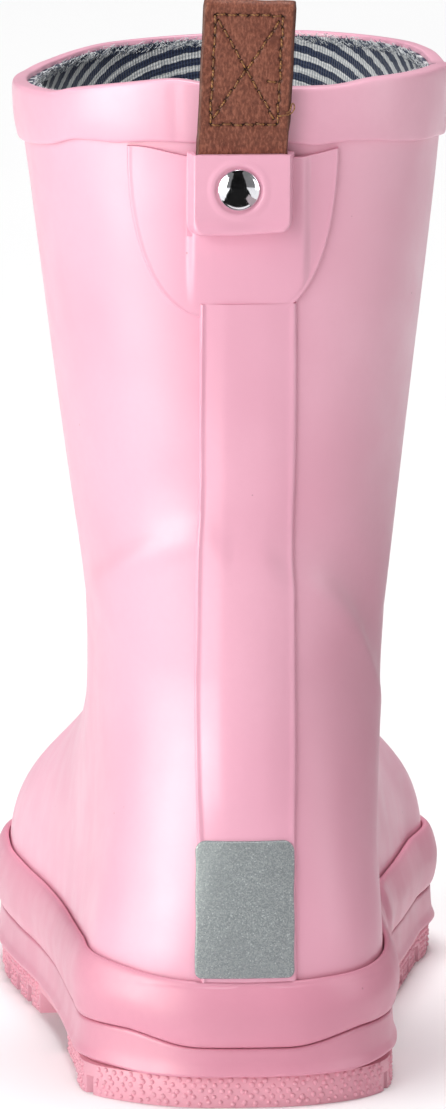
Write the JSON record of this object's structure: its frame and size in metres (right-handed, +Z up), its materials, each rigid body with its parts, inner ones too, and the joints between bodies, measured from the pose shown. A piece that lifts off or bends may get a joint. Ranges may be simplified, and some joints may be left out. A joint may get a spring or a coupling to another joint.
{
  "type": "rain boot",
  "caption": "Child's pull-on rubber rain boot for the left foot, with lugged sole, knit lining, folded collar, back strip with reflector, and a riveted leather pull tab.",
  "frame": {"origin": "on the ground, under the middle of the boot's bounding box", "axes": "+Z up, +Y towards the toe, +X towards the inner (medial) side of the left foot"},
  "size_m": [0.09, 0.2098, 0.2049],
  "materials": {
    "upper_rubber": "satin, smooth moulded rubber",
    "foxing_rubber": "satin, slightly deeper pink",
    "sole_rubber": "matte, raised dots on the sides",
    "tab_leather": "brown grained leather",
    "thread": "waxed tan thread",
    "rivet_chrome": "polished",
    "steel": "plain",
    "reflector": "grey glass-bead film",
    "lining_knit": "ribbed knit, navy and off-white stripes",
    "footbed_foam": "foam with a knit cover",
    "foam": "plain foam rubber",
    "fibreboard": "plain fibreboard"
  },
  "bodies": {
    "boot": {"heel_block": "sole_rubber", "outsole_forepart": "sole_rubber", "foxing_lower": "foxing_rubber", "foxing_upper": "foxing_rubber", "sole_filler": "foam", "shank": "steel", "insole_board": "fibreboard", "upper_shell": "upper_rubber", "heel_counter": "fibreboard", "toe_puff": "fibreboard", "lining": "lining_knit", "collar_band": "upper_rubber", "back_stay": "upper_rubber", "back_patch": "upper_rubber", "heel_reflector": "reflector", "tab_keeper": "upper_rubber", "pull_tab_root": "tab_leather", "rivet_cap": "rivet_chrome", "rivet_post": "steel", "rivet_back": "steel"},
    "tab": {"pull_tab": "tab_leather", "tab_thread": "thread"},
    "footbed": {"footbed": "footbed_foam"}
  },
  "joints": [
    {"name": "pull_tab_flex", "type": "hinge", "parent": "boot", "child": "tab", "pos_m": [0, -0.10119, 0.17895], "axis": [1, 0, 0], "range_deg": [0, 60], "stiffness_Nm_per_rad": 0.02},
    {"name": "footbed_lift", "type": "hinge", "parent": "boot", "child": "footbed", "pos_m": [0, 0.0961, 0.0133], "axis": [-1, 0, 0], "range_deg": [0, 4]}
  ]
}
